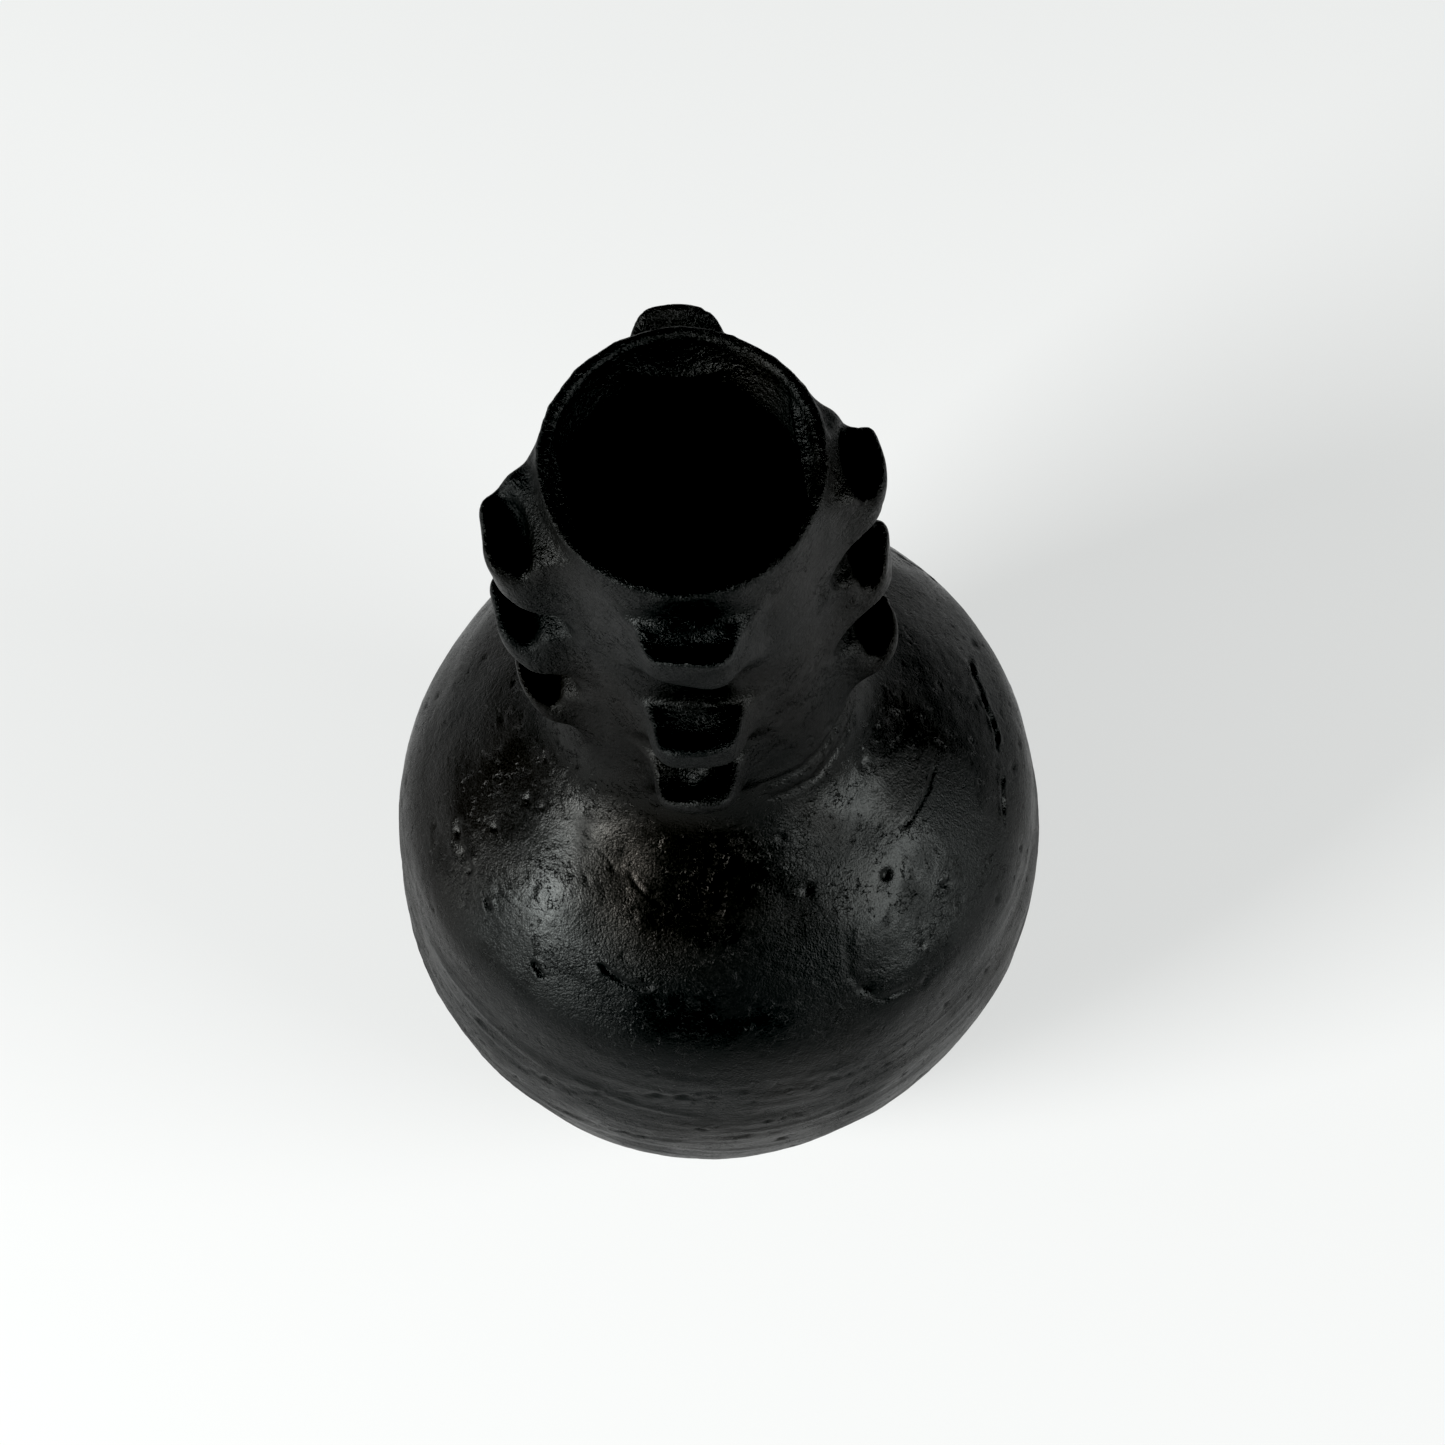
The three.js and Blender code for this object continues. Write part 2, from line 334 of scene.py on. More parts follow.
def surface_net(values, low, step):
    """One vertex in each cell that the surface passes through, and one quad across each edge that it cuts."""
    inside = values < 0
    shape = np.array(values.shape) - 1
    count = np.zeros(shape, np.uint8)
    for i, j, k in CORNERS:
        count += inside[i : i + shape[0], j : j + shape[1], k : k + shape[2]]
    cells = np.argwhere((count > 0) & (count < 8))
    index = np.full(shape, -1, np.int32)
    index[tuple(cells.T)] = np.arange(len(cells))
    corner_values = np.stack([values[tuple((cells + c).T)] for c in CORNERS], axis=1)
    total = np.zeros((len(cells), 3))
    hits = np.zeros(len(cells))
    for a, b in EDGES:
        va, vb = corner_values[:, a], corner_values[:, b]
        cut = (va < 0) != (vb < 0)
        t = va[cut] / (va[cut] - vb[cut])
        total[cut] += CORNERS[a] + t[:, None] * (CORNERS[b] - CORNERS[a])
        hits[cut] += 1
    points = low + step * (cells + total / hits[:, None])
    quads = []
    for axis in range(3):
        first, second = [d for d in range(3) if d != axis]
        near = inside[tuple(slice(None, -1) if d == axis else slice(None) for d in range(3))]
        far = inside[tuple(slice(1, None) if d == axis else slice(None) for d in range(3))]
        at = np.argwhere(near != far)
        at = at[(at[:, first] > 0) & (at[:, second] > 0)]
        ring = []
        for back_first, back_second in ((0, 0), (1, 0), (1, 1), (0, 1)):
            cell = at.copy()
            cell[:, first] -= back_first
            cell[:, second] -= back_second
            ring.append(index[tuple(cell.T)])
        quad = np.stack(ring, axis=1)
        leaving = near[tuple(at.T)]
        flip = leaving if axis == 1 else ~leaving
        quad[flip] = quad[flip][:, ::-1]
        quads.append(quad)
    return points, np.concatenate(quads)


def vertex_normals(points, faces):
    """Area-weighted normals of a quad mesh."""
    a, b, c, d = (points[faces[:, i]] for i in range(4))
    face_normal = np.cross(c - a, d - b)
    normals = np.zeros_like(points)
    for i in range(4):
        for j in range(3):
            normals[:, j] += np.bincount(faces[:, i], face_normal[:, j], len(points))
    return normals / np.linalg.norm(normals, axis=1)[:, None]


# ---- the potter's marks ----
def on_skin(azimuth, z):
    """The point of the ideal outside at an azimuth in degrees and a height."""
    radius = outer_radius(z)
    angle = np.radians(azimuth)
    return np.stack([radius * np.cos(angle), radius * np.sin(angle), np.asarray(z, float)], axis=-1)


def distance_to_path(points, path):
    """Distance to a broken line, and how far along it the nearest point is, from 0 to 1."""
    best = np.full(len(points), 1e9)
    along = np.zeros(len(points))
    count = len(path) - 1
    for i in range(count):
        a, b = path[i], path[i + 1]
        t = np.clip((points - a) @ (b - a) / ((b - a) @ (b - a)), 0, 1)
        away = np.linalg.norm(points - a - t[:, None] * (b - a), axis=1)
        closer = away < best
        best[closer] = away[closer]
        along[closer] = (i + t[closer]) / count
    return best, along


def mark_path(stops, samples=6):
    """A wandering line over the skin through given (azimuth, height) stops."""
    stops = np.array(stops, float)
    t = np.linspace(0, len(stops) - 1, (len(stops) - 1) * samples + 1)
    azimuth = np.interp(t, range(len(stops)), stops[:, 0])
    height = np.interp(t, range(len(stops)), stops[:, 1])
    return on_skin(azimuth, height)


def groove(points, stops, width, depth, torn, seed):
    """A dragged groove: below the skin along the line, with a raised burr on both sides."""
    path = mark_path(stops)
    near = np.linalg.norm(points - path.mean(0), axis=1) < np.ptp(path, axis=0).max() + 15
    result = np.zeros(len(points))
    local = points[near]
    wander = np.stack([noise(local, 4, seed + i) for i in range(3)], axis=1) * (0.6 + width) * torn
    away, along = distance_to_path(local + wander, path)
    fade = steps_between(0, 0.12, along) * (1 - steps_between(0.88, 1, along))
    rough = np.maximum(1 - 0.8 * torn + 1.7 * torn * noise(local, 3.6, seed + 7), 0)
    cut = -depth * np.exp(-((away / width) ** 2)) * (rough + 1 - torn)
    burr = 0.25 * depth * np.exp(-(((away - 2.0 * width) / width) ** 2)) * rough
    result[near] = fade * (cut + burr)
    return result


def lumps(points, z):
    """Low swellings that beating and smoothing left."""
    body = 1 - 0.55 * steps_between(190, 225, z)
    return body * (1.1 * noise(points, 75, 1) + 0.5 * noise(points, 30, 2)) + 0.16 * noise(points, 12, 3)


def scraping(points, z):
    """Level strokes of a scraper round the lower belly, with soft ridges between them."""
    x, y, _ = points.T
    level = np.stack([x, y, z + 0.10 * x - 0.05 * y], axis=1)
    broad = noise(level, (90, 90, 16), 11)
    strokes = 0.48 * broad + 0.18 * noise(level, (42, 42, 6.5), 12) + 0.10 * noise(level, (22, 22, 2.8), 14)
    ridge = 0.28 * np.maximum(0.3 - np.abs(noise(level, (48, 48, 12), 15)), 0) / 0.3
    return (strokes + ridge) * (1 - steps_between(118, 158, z)) * steps_between(0, 14, z)


def grain(points):
    """Sand and rubbed clay: small soft bumps everywhere, rougher in patches."""
    patches = 0.55 + 0.45 * noise(points, 30, 22)
    rough = 0.06 * noise(points, 4.2, 21) + 0.09 * noise(points, 2.1, 24)
    return rough * patches + 0.10 * np.maximum(noise(points, 3.0, 23) - 0.5, 0) * 2


def pits(points, spots, seed):
    """Small round or dragged pits, scattered at random."""
    rng = np.random.default_rng(seed)
    tree = kdtree.KDTree(len(points))
    for i, p in enumerate(points):
        tree.insert(p, i)
    tree.balance()
    result = np.zeros(len(points))
    for _ in range(spots):
        centre = points[rng.integers(len(points))]
        radius = rng.uniform(0.7, 1.0) if rng.random() < 0.75 else rng.uniform(1.0, 2.1)
        depth = radius * rng.uniform(0.25, 0.55)
        drag = rng.normal(size=3) * (1, 1, 0.3)
        drag /= np.linalg.norm(drag)
        stretch = rng.uniform(1.0, 2.6)
        found = tree.find_range(centre, radius * stretch * 2.2)
        rows = np.array([f[1] for f in found])
        offset = points[rows] - centre
        along = offset @ drag
        across = np.linalg.norm(offset - along[:, None] * drag, axis=1)
        away = np.hypot(along / stretch, across) / radius
        result[rows] -= depth * np.exp(-(away**2) * 1.4)
    return result


# Marks: stops of azimuth and height, half-width, depth and how torn the edge is.
MARKS = [
    ([(20, 169), (14, 168), (9, 167), (3, 164), (-3, 163)], 0.9, 1.2, 0.6),
    ([(-6, 162), (-11, 160), (-16, 157)], 0.8, 1.1, 0.6),
    ([(198.5, 171), (204, 168.6), (210.5, 167.6)], 1.5, 1.3, 0.7),
    ([(300, 176), (298, 164), (302, 154), (310, 149), (317, 151)], 1.5, 0.30, 0.4),
    ([(245, 171), (252, 168), (258, 168.5)], 0.9, 0.55, 0.4),
    ([(280, 176), (286, 171), (293, 164)], 0.9, 0.35, 0.9),
    ([(232, 163), (236, 161)], 1.0, 1.1, 0.5),
    ([(216, 167.5), (219, 165)], 1.2, 1.2, 0.8),
    ([(324, 168), (327, 164)], 1.1, 1.2, 0.8),
    ([(201, 194), (216, 196), (231, 194.5), (245, 191.5), (256, 187), (266, 181)], 0.6, 0.34, 0.9),
    ([(206, 191), (219, 193), (233, 191.5), (247, 188), (259, 182)], 0.5, 0.28, 1.0),
    ([(226, 206), (240, 205), (252, 202), (263, 199)], 0.5, 0.24, 0.8),
    ([(326, 184), (337, 183), (347, 183.5)], 0.6, 0.45, 0.3),
    ([(285, 220), (309, 217), (331, 217.5), (350, 217)], 1.6, 0.45, 0.2),
    ([(290, 213), (312, 210), (333, 210.5), (347, 211)], 1.3, 0.35, 0.2),
    ([(222, 100), (241, 111), (256, 123), (268, 133), (278, 129), (292, 125), (310, 114)], 2.2, 0.40, 0.9),
    ([(236, 84), (252, 90), (268, 96), (284, 97)], 1.4, 0.45, 0.9),
    ([(247, 122), (262, 128), (272, 128)], 1.1, 0.45, 0.9),
    ([(262, 104), (276, 108), (290, 106)], 1.0, 0.45, 0.9),
    ([(40, 150), (52, 158), (66, 161), (80, 159)], 1.3, 0.8, 0.8),
    ([(118, 178), (126, 168), (131, 156)], 1.0, 0.6, 0.6),
    ([(150, 120), (163, 126), (178, 125)], 1.8, 0.6, 0.5),
    ([(96, 96), (112, 92), (130, 97)], 1.6, 0.6, 0.5),
    ([(28, 90), (44, 96), (58, 94)], 1.5, 0.6, 0.5),
]
# Broad dents and swellings: azimuth, height, half-width and how far they stand out.
SWELLINGS = [
    (228, 180, 17, 1.1),
    (243, 193, 9, -0.7),
    (262, 186, 16, -0.5),
    (303, 172, 15, 0.8),
    (318, 192, 11, -0.5),
    (292, 156, 9, -0.5),
    (205, 182, 14, -0.7),
    (20, 180, 15, 0.6),
    (110, 170, 20, 0.8),
    (150, 150, 22, -0.7),
    (60, 130, 24, 0.7),
]


def swellings(points):
    total = np.zeros(len(points))
    for azimuth, z, size, height in SWELLINGS:
        away = np.linalg.norm(points - on_skin(azimuth, z), axis=1) / size
        total += height * np.exp(-(away**2))
    return total


def potter_marks(points, z):
    """Everything that moves the smooth skin in or out, at ideal points."""
    relief = lumps(points, z) + scraping(points, z) + grain(points) + swellings(points)
    for seed, (stops, width, depth, torn) in enumerate(MARKS, 50):
        relief += groove(points, stops, width, depth, torn, seed)
    at_rim = steps_between(HEIGHT - 9, HEIGHT - 2, z)
    relief += at_rim * (0.30 * noise(points, 4.5, 41) + 0.18 * noise(points, 2.4, 42))
    body = np.flatnonzero((z > 4) & (np.hypot(points[:, 0], points[:, 1]) > MOUTH_RADIUS + 1))
    relief[body] += pits(points[body], 420, 77)
    return relief


# ---- meshes and cutting ----
def mesh_object(name, points, faces, material_index=0):
    """A mesh object from points in millimetres."""
    mesh = bpy.data.meshes.new(name)
    faces = np.asarray(faces)
    size = faces.shape[1]
    mesh.vertices.add(len(points))
    mesh.vertices.foreach_set("co", (points * MM).astype(np.float32).ravel())
    mesh.loops.add(faces.size)
    mesh.loops.foreach_set("vertex_index", faces.astype(np.int32).ravel())
    mesh.polygons.add(len(faces))
    mesh.polygons.foreach_set("loop_start", np.arange(0, faces.size, size, dtype=np.int32))
    mesh.polygons.foreach_set("material_index", np.full(len(faces), material_index, np.int32))
    mesh.update(calc_edges=True)
    mesh.validate()
    for material in CLAY_SLOTS:
        mesh.materials.append(material)
    obj = bpy.data.objects.new(name, mesh)
    bpy.context.scene.collection.objects.link(obj)
    return obj


def discard(*objects):
    for obj in objects:
        mesh = obj.data
        bpy.data.objects.remove(obj)
        bpy.data.meshes.remove(mesh)


def boolean(solid, cutter, operation, name):
    """solid cut by cutter, or what both share, as a new object. Both inputs stay."""
    modifier = solid.modifiers.new("cut", "BOOLEAN")
    modifier.solver = "MANIFOLD"
    modifier.operation = operation
    modifier.object = cutter
    graph = bpy.context.evaluated_depsgraph_get()
    mesh = bpy.data.meshes.new_from_object(solid.evaluated_get(graph))
    mesh.name = name
    solid.modifiers.remove(modifier)
    made = bpy.data.objects.new(name, mesh)
    bpy.context.scene.collection.objects.link(made)
    return made


def revolved(name, outline, segments, material_index, bend=None):
    """A closed solid of revolution: [radius, height] points from axis to axis, or round a ring off the axis."""
    outline = np.array(outline, float)
    on_axis = outline[0][0] == 0
    ring = outline[1:-1] if on_axis else outline
    here = np.arange(segments)
    turn = (here + 1) % segments
    angle = here * 2 * math.pi / segments
    points = np.stack(
        [
            np.outer(ring[:, 0], np.cos(angle)),
            np.outer(ring[:, 0], np.sin(angle)),
            np.repeat(ring[:, 1:], segments, axis=1),
        ],
        axis=-1,
    ).reshape(-1, 3)
    if bend is not None:
        points = bend(points)
    triangles = []
    rows = len(ring)
    for row in range(rows - 1 if on_axis else rows):
        a, b = row * segments + here, row * segments + turn
        c, d = (row + 1) % rows * segments + here, (row + 1) % rows * segments + turn
        triangles += [np.stack([a, b, d], 1), np.stack([a, d, c], 1)]
    if on_axis:
        first, last = len(points), (rows - 1) * segments
        points = np.vstack([points, [0, 0, outline[0][1]], [0, 0, outline[-1][1]]])
        triangles.append(np.stack([np.full(segments, first), turn, here], 1))
        triangles.append(np.stack([np.full(segments, first + 1), last + here, last + turn], 1))
    return faces_out(mesh_object(name, to_frame(points), np.concatenate(triangles), material_index))


def grid_block(name, rows, material_index=0):
    """A closed block from two matching grids of points, near and far: rows[0] and rows[1] are (n, m, 3)."""
    near, far = (to_frame(layer.reshape(-1, 3)) for layer in rows)
    n, m, _ = rows[0].shape
    at = np.arange(n * m).reshape(n, m)
    skip = n * m
    quads = []
    for i in range(n - 1):
        for j in range(m - 1):
            a, b, c, d = at[i, j], at[i, j + 1], at[i + 1, j + 1], at[i + 1, j]
            quads.append([a, b, c, d])
            quads.append([d + skip, c + skip, b + skip, a + skip])
    edge = [*at[0, :-1], *at[:-1, -1], *at[-1, :0:-1], *at[:0:-1, 0]]
    for a, b in zip(edge, edge[1:] + edge[:1]):
        quads.append([b, a, a + skip, b + skip])
    return faces_out(mesh_object(name, np.vstack([near, far]), quads, material_index))


def faces_out(obj):
    """Turns a closed mesh's faces outwards if they face in."""
    mesh = obj.data
    mesh.calc_loop_triangles()
    count = len(mesh.loop_triangles)
    corners = np.empty(count * 3, np.int32)
    mesh.loop_triangles.foreach_get("vertices", corners)
    points = np.empty(len(mesh.vertices) * 3, np.float32)
    mesh.vertices.foreach_get("co", points)
    a, b, c = points.reshape(-1, 3)[corners.reshape(-1, 3)].transpose(1, 0, 2)
    if np.einsum("ij,ij->i", a, np.cross(b, c)).sum() < 0:
        mesh.flip_normals()
    return obj


# ---- shaders ----
class Nodes:
    """Short calls for building a shader tree."""

    def __init__(self, name):
        self.material = bpy.data.materials.new(name)
        self.material.use_nodes = True
        self.tree = self.material.node_tree
        self.tree.nodes.clear()

    def add(self, kind, inputs=None, **settings):
        node = self.tree.nodes.new(kind)
        for key, value in settings.items():
            setattr(node, key, value)
        for key, value in (inputs or {}).items():
            self.set(node.inputs[key], value)
        return node

    def set(self, socket, value):
        if isinstance(value, bpy.types.NodeSocket):
            self.tree.links.new(value, socket)
        else:
            socket.default_value = value

    def math(self, operation, a, b=0.0, clamp=False):
        node = self.add("ShaderNodeMath", operation=operation, use_clamp=clamp)
        self.set(node.inputs[0], a)
        self.set(node.inputs[1], b)
        return node.outputs[0]

    def scaled(self, vector, factors):
        node = self.add("ShaderNodeVectorMath", operation="MULTIPLY")
        self.set(node.inputs[0], vector)
        self.set(node.inputs[1], factors)
        return node.outputs[0]

    def measure(self, operation, a, b=(0.0, 0.0, 0.0)):
        """A number from one or two vectors."""
        node = self.add("ShaderNodeVectorMath", operation=operation)
        self.set(node.inputs[0], a)
        self.set(node.inputs[1], b)
        return node.outputs["Value"]

    def noise(self, vector, scale, detail=2.0, roughness=0.5):
        """Smooth noise, about 0.5; scale is features to the metre."""
        node = self.add(
            "ShaderNodeTexNoise",
            {"Vector": vector, "Scale": scale, "Detail": detail, "Roughness": roughness},
        )
        return node.outputs["Fac"]

    def between(self, value, low, high, to_low=0.0, to_high=1.0):
        node = self.add("ShaderNodeMapRange", interpolation_type="SMOOTHSTEP")
        for key, v in (("Value", value), ("From Min", low), ("From Max", high), ("To Min", to_low), ("To Max", to_high)):
            self.set(node.inputs[key], v)
        return node.outputs["Result"]

    def mix(self, share, a, b):
        node = self.add("ShaderNodeMix", data_type="RGBA")
        self.set(node.inputs["Factor"], share)
        self.set(node.inputs[6], a)
        self.set(node.inputs[7], b)
        return node.outputs[2]

    def bump(self, height, distance, strength=1.0, normal=None):
        node = self.add("ShaderNodeBump", {"Height": height, "Distance": distance, "Strength": strength})
        if normal is not None:
            self.set(node.inputs["Normal"], normal)
        return node.outputs[0]

    def surface(self, inputs):
        shader = self.add("ShaderNodeBsdfPrincipled", inputs)
        output = self.add("ShaderNodeOutputMaterial")
        self.tree.links.new(shader.outputs[0], output.inputs[0])
        return self.material


WARM_PATCH = (-0.011, -0.061, 0.191)


def burnished_clay(name, burnish):
    """Smoke-fired clay. burnish is how far the surface was rubbed smooth, from 0 to 1."""
    n = Nodes(name)
    place = n.add("ShaderNodeTexCoord").outputs["Object"]
    height = n.add("ShaderNodeSeparateXYZ", {"Vector": place}).outputs["Z"]

    # Fine level strokes on the lower belly fade out above it.
    strokes = n.noise(n.scaled(place, (0.12, 0.12, 1.0)), 620.0, 3.0, 0.6)
    low = n.between(height, 0.118, 0.155, 1.0, 0.0)

    # The lugs and the lip were pressed, not rubbed. The lugs are all that stands outside the neck up there.
    outside = n.between(n.measure("LENGTH", n.scaled(place, (1.0, 1.0, 0.0))), 0.043, 0.050)
    lugs = n.math("MULTIPLY", outside, n.between(height, 0.226, 0.236))
    pressed = n.math("MAXIMUM", lugs, n.between(height, 0.322, 0.336))

    sand = n.noise(place, 1500.0, 2.0, 0.6)
    coarse_sand = n.noise(place, 640.0, 2.0, 0.6)
    patches = n.between(n.noise(place, 30.0, 3.0, 0.6), 0.36, 0.60)
    rubbed = n.math("SUBTRACT", patches, n.between(height, 0.205, 0.240, 0.0, 0.4))
    rubbed = n.math("SUBTRACT", rubbed, pressed, clamp=True)
    smoke = n.between(n.noise(place, 9.0, 3.0, 0.55), 0.35, 0.65)
    warm = n.between(n.measure("DISTANCE", place, WARM_PATCH), 0.012, 0.040, 1.0, 0.0)
    specks = n.between(n.noise(place, 420.0, 1.0, 0.5), 0.70, 0.78)

    # Thin cracks and drags: the level lines of a noise, kept only in places.
    drawn = n.noise(n.scaled(place, (1.0, 1.0, 1.7)), 150.0, 3.0, 0.7)
    off_line = n.math("ABSOLUTE", n.math("SUBTRACT", drawn, 0.5))
    kept = n.between(n.noise(place, 62.0, 2.0, 0.5), 0.51, 0.57, 1.0, 0.0)
    scratches = n.math("MAXIMUM", n.between(off_line, 0.0, 0.018), kept)

    colour = n.mix(smoke, (0.0009, 0.0012, 0.0012, 1), (0.0015, 0.0014, 0.0012, 1))
    colour = n.mix(n.between(sand, 0.62, 0.76, 0.0, 0.3), colour, (0.005, 0.0051, 0.0049, 1))
    tint = n.mix(n.between(smoke, 0.3, 1.0), (0.93, 1.0, 0.97, 1), (0.98, 1.0, 0.95, 1))
    tint = n.mix(warm, tint, (1.0, 0.92, 0.80, 1))
    base = 0.465 - 0.19 * burnish
    roughness = n.between(patches, 0.0, 1.0, base + 0.06, base - 0.03)
    roughness = n.math("ADD", roughness, n.between(sand, 0.35, 0.7, -0.03, 0.08))
    roughness = n.math("ADD", roughness, n.between(height, 0.205, 0.245, 0.0, 0.07))
    roughness = n.math("ADD", roughness, n.math("MULTIPLY", low, 0.12))
    roughness = n.math("ADD", roughness, n.math("MULTIPLY", specks, 0.25), clamp=True)

    cracks = n.between(n.noise(n.scaled(place, (1.0, 1.0, 0.55)), 260.0, 3.0, 0.65), 0.30, 0.40)
    normal = n.bump(coarse_sand, 0.00028, n.between(rubbed, 0.0, 1.0, 1.0, 0.25))
    normal = n.bump(n.noise(place, 560.0, 3.0, 0.65), 0.00080, n.math("MULTIPLY", pressed, 0.9), normal)
    normal = n.bump(cracks, 0.00026, 0.7, normal)
    normal = n.bump(scratches, 0.00048, 1.0, normal)
    normal = n.bump(sand, 0.00028, n.between(rubbed, 0.0, 1.0, 1.0, 0.38), normal)
    normal = n.bump(strokes, 0.00030, n.math("MULTIPLY", low, 0.7), normal)
    return n.surface(
        {
            "Base Color": colour,
            "Roughness": roughness,
            "IOR": 1.5,
            "Specular IOR Level": 0.08,
            "Specular Tint": tint,
            "Normal": normal,
        }
    )


SKIN, BORE, JOINT = 0, 1, 2
CLAY_SLOTS = [
    burnished_clay("black_clay_skin", 1.0),
    burnished_clay("black_clay_bore", 0.0),
    burnished_clay("black_clay_joint", 0.0),
]


# ---- the skin ----
def skin_mesh():
    """Points in millimetres, quads and normals of the marked skin."""
    values, low = sample_field(GRID_STEP)
    fill_pinches(values)
    points, quads = surface_net(values, low, GRID_STEP)
    for _ in range(2):
        points -= field_step(points)
    normals = vertex_normals(points, quads)
    x, y, z = points.T
    ideal = np.stack(to_ideal(x, y, z), axis=1)
    relief = potter_marks(ideal, ideal[:, 2])
    points = points + normals * relief[:, None]
    points[:, 2] = np.maximum(points[:, 2], 0)
    return points, quads, vertex_normals(points, quads)


def field_step(points, small=0.05):
    """How far, and which way, each point stands off the surface of the field."""
    x, y, z = points.T
    here = skin_field(x, y, z)
    slope = np.stack(
        [
            skin_field(x + small, y, z) - here,
            skin_field(x, y + small, z) - here,
            skin_field(x, y, z + small) - here,
        ],
        axis=1,
    ) / small
    steep = np.maximum((slope**2).sum(1), 0.2)
    return slope * (np.clip(here, -0.5, 0.5) / steep)[:, None]


def keep_normals(obj, normals):
    attribute = obj.data.attributes.new("skin_normal", "FLOAT_VECTOR", "POINT")
    attribute.data.foreach_set("vector", normals.astype(np.float32).ravel())


def read(collection, key, width, kind=np.float32):
    values = np.empty(len(collection) * width, kind)
    collection.foreach_get(key, values)
    return values.reshape(-1, width) if width > 1 else values


# ---- cutters ----
def inner_radius(z):
    z = np.asarray(z, float)
    return outer_radius(z) - BODY_WALL / np.maximum(from_table(TABLE_SQUARE, z), 0.5)


def cavity():
    """The space inside: the belly, the throat and the bore up to the underside of the ledge."""
    bore = MOUTH_RADIUS - NECK_WALL
    belly = [[inner_radius(z), z] for z in np.arange(FLOOR_TOP + 3, 186, 3)]
    outline = [
        [0, FLOOR_TOP],
        [inner_radius(FLOOR_TOP) - 4, FLOOR_TOP],
        [inner_radius(FLOOR_TOP + 1) - 1.2, FLOOR_TOP + 0.8],
        *belly,
        [50, 190],
        [42, 194.5],
        [38.8, 201],
        [37.8, 212],
        *[[bore + 1.8 * (1 - steps_between(212, 250, z)), z] for z in np.arange(216, 305, 3)],
        [bore, LEDGE_BOTTOM],
        [0, LEDGE_BOTTOM],
    ]
    return revolved("cavity", outline, 200, BORE)


def below(outline, name):
    """Everything under a cut that runs from the axis, through the wall, to well outside the pot."""
    return revolved(name, [[0, -20], [160, -20], *outline[::-1], [0, outline[0][1]]], 160, JOINT)


def scarf(z):
    """The sloping cut through the body wall at the joint at height z."""
    inside, outside = z - SCARF, z + SCARF
    return [
        [inner_radius(inside) - 3, inside],
        [outer_radius(outside) + 3, outside],
        [160, outside],
    ]


def lug_cutter(name, place):
    """A block round one lug: its inner face runs just under the skin of the neck."""
    azimuth, tip, _, _, face = place[:5]
    z = np.linspace(tip - face - 15, tip + 5, 12)
    angle = np.radians(azimuth + np.linspace(-29, 29, 15))
    near = np.empty((len(z), len(angle), 3))
    far = np.empty_like(near)
    for i, height in enumerate(z):
        for layer, radius in ((near, outer_radius(height) - 1.2), (far, 75.0)):
            layer[i] = np.stack(
                [radius * np.cos(angle), radius * np.sin(angle), np.full(len(angle), height)], axis=1
            )
    return grid_block(name, (near, far), JOINT)


# ---- cutting the pot into its pieces ----
def cut_pot(skin):
    """Every piece by the name of the CAD node that it replaces."""
    pieces = {}
    hollow = cavity()
    pot = boolean(skin, hollow, "DIFFERENCE", "pot")
    discard(hollow)

    def part_off(rest, cutter, node):
        """Gives what the cutter holds to node, and hands back what is left."""
        pieces[node] = boolean(rest, cutter, "INTERSECT", "fired_" + node)
        left = boolean(rest, cutter, "DIFFERENCE", "rest")
        discard(rest, cutter)
        return left

    body_cut = below([[200, NECK_FOOT]], "body_cut")
    body = boolean(pot, body_cut, "INTERSECT", "body")
    neck = boolean(pot, body_cut, "DIFFERENCE", "neck")
    discard(pot, body_cut)

    body = part_off(body, below([[200, FLOOR_TOP]], "floor_cut"), "floor_disc")
    body = part_off(body, below(scarf(BOWL_TOP), "bowl_cut"), "lower_bowl")
    body = part_off(body, below(scarf(BELLY_TOP), "belly_cut"), "belly_band")
    body.name = "fired_shoulder_dome"
    pieces["shoulder_dome"] = body

    for node, place in LUGS.items():
        neck = part_off(neck, lug_cutter(node + "_cut", place), node)
    coil = [[44, NECK_FOOT - 5], [120, NECK_FOOT - 5], [120, COIL_TOP - 2], [42.9, COIL_TOP - 2], [43.5, NECK_FOOT + 12]]
    neck = part_off(neck, revolved("coil_cut", coil, 160, JOINT), "neck_joint_coil")
    bore = MOUTH_RADIUS - NECK_WALL
    lap = [
        [bore - 0.5, LEDGE_BOTTOM - 2],
        [bore - 0.5, NECK_TOP - SCARF],
        [MOUTH_RADIUS + 2, NECK_TOP + SCARF],
        [160, NECK_TOP + SCARF],
    ]
    neck = part_off(neck, below(lap, "rim_cut"), "neck_tube")
    neck.name = "fired_rim_band"
    pieces["rim_band"] = neck
    return pieces


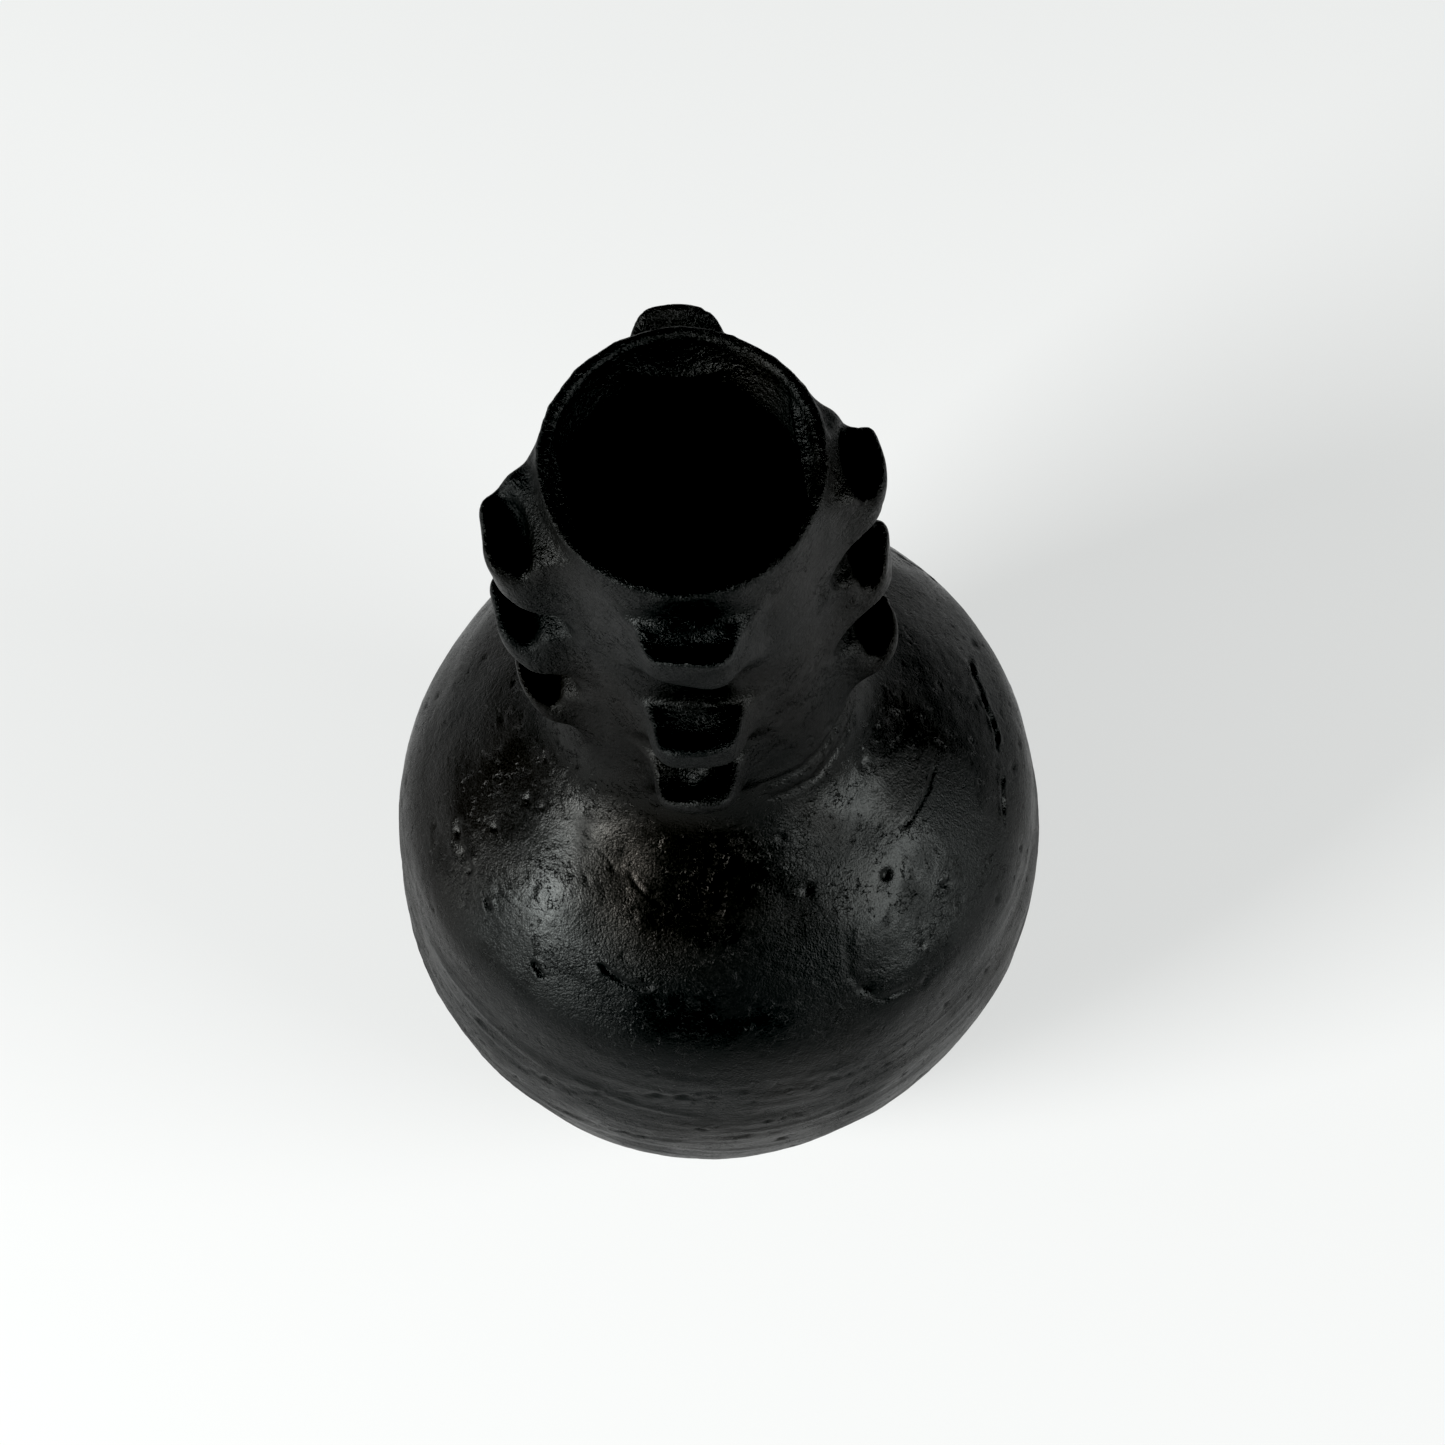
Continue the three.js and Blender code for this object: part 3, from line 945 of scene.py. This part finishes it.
def shade(obj, tree, normals):
    """Skin faces keep the normals of the uncut skin, so no joint shows; cut faces are flat."""
    mesh = obj.data
    points = read(mesh.vertices, "co", 3)
    kept = read(mesh.attributes["skin_normal"].data, "vector", 3)
    kinds = read(mesh.polygons, "material_index", 1, np.int32)
    totals = read(mesh.polygons, "loop_total", 1, np.int32)
    corner_vertex = read(mesh.loops, "vertex_index", 1, np.int32)
    corner_edge = read(mesh.loops, "edge_index", 1, np.int32)
    corner_kind = np.repeat(kinds, totals)
    on_skin = corner_kind == SKIN
    bare = np.zeros(len(points), bool)
    bare[corner_vertex[on_skin]] = True
    bare &= np.linalg.norm(kept, axis=1) < 0.9
    for i in np.flatnonzero(bare):
        found = tree.find_n(points[i], 3)
        weights = np.array([1 / (away + 1e-6) for _, _, away in found])
        total = weights @ normals[[row for _, row, _ in found]]
        kept[i] = total / np.linalg.norm(total)
    low = np.full(len(mesh.edges), 9)
    high = np.zeros(len(mesh.edges), int)
    np.minimum.at(low, corner_edge, corner_kind)
    np.maximum.at(high, corner_edge, corner_kind)
    mesh.polygons.foreach_set("use_smooth", kinds != JOINT)
    sharp = mesh.attributes.get("sharp_edge") or mesh.attributes.new("sharp_edge", "BOOLEAN", "EDGE")
    sharp.data.foreach_set("value", low != high)
    mesh.normals_split_custom_set(np.where(on_skin[:, None], kept[corner_vertex], 0))
    mesh.attributes.remove(mesh.attributes["skin_normal"])


skin_points, skin_quads, skin_normals = skin_mesh()
skin = mesh_object("skin", skin_points, skin_quads, SKIN)
keep_normals(skin, skin_normals)
fired = cut_pot(skin)
discard(skin)
skin_tree = kdtree.KDTree(len(skin_points))
for row, point in enumerate(skin_points * MM):
    skin_tree.insert(point, row)
skin_tree.balance()
for node, piece in fired.items():
    shade(piece, skin_tree, skin_normals)
    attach(piece, "root")
    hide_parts(node)


# ---- the ground ----
def plain_ground():
    n = Nodes("pale_ground")
    return n.surface(
        {
            "Base Color": (0.26, 0.262, 0.26, 1),
            "Roughness": 0.9,
            "Specular IOR Level": 0.1,
            "Emission Color": (0.98, 1.0, 0.99, 1),
            "Emission Strength": 0.54,
        }
    )


half = 6.0
ground_mesh = bpy.data.meshes.new("ground")
ground_mesh.from_pydata([(-half, -half, 0), (half, -half, 0), (half, half, 0), (-half, half, 0)], [], [(0, 1, 2, 3)])
ground_mesh.materials.append(plain_ground())
ground = bpy.data.objects.new("ground", ground_mesh)
bpy.context.scene.collection.objects.link(ground)


# ---- light ----
def softbox(name, direction, distance, size, power, colour=(1, 1, 1)):
    """A rectangular light aimed at the belly."""
    light = bpy.data.lights.new(name, "AREA")
    light.shape = "RECTANGLE"
    light.size, light.size_y = size
    light.energy = power
    light.color = colour
    target = Vector((0, 0, 0.15))
    direction = Vector(direction).normalized()
    obj = bpy.data.objects.new(name, light)
    obj.location = target + direction * distance
    obj.rotation_euler = direction.to_track_quat("Z", "Y").to_euler()
    obj.visible_camera = False
    bpy.context.scene.collection.objects.link(obj)


softbox("left_softbox", (-0.80, -0.46, 0.385), 2.6, (1.0, 0.9), 168)
softbox("right_softbox", (0.87, -0.38, 0.35), 2.6, (1.45, 1.15), 98)

world = bpy.data.worlds.new("studio")
bpy.context.scene.world = world
world.use_nodes = True
world.node_tree.nodes["Background"].inputs["Color"].default_value = (0.98, 1.0, 0.99, 1)
world.node_tree.nodes["Background"].inputs["Strength"].default_value = 0.54
world.cycles_visibility.diffuse = False
world.cycles_visibility.glossy = False
display = bpy.context.scene.view_settings
display.view_transform = "Standard"
display.use_curve_mapping = True
display.curve_mapping.black_level = (0.005, 0.005, 0.005)
display.curve_mapping.update()

# ---- camera ----
ELEVATION = math.radians(62.3)
ROLL = math.radians(-1.0)
DISTANCE = 1.0858
backwards = Vector((0, -math.cos(ELEVATION), math.sin(ELEVATION)))
level = Vector((1, 0, 0))
upwards = backwards.cross(level)
right = math.cos(ROLL) * level + math.sin(ROLL) * upwards
up = math.cos(ROLL) * upwards - math.sin(ROLL) * level
camera_data = bpy.data.cameras.new("camera")
camera_data.sensor_width = 36
camera_data.lens = 94.57
camera_data.clip_end = 50
camera = bpy.data.objects.new("camera", camera_data)
mouth = Vector((MOUTH_SHIFT[0], MOUTH_SHIFT[1], HEIGHT)) * MM
camera.location = mouth + 0.01146 * right - 0.07474 * up + DISTANCE * backwards
camera.rotation_euler = Matrix([right, up, backwards]).transposed().to_euler()
bpy.context.scene.collection.objects.link(camera)
bpy.context.scene.camera = camera
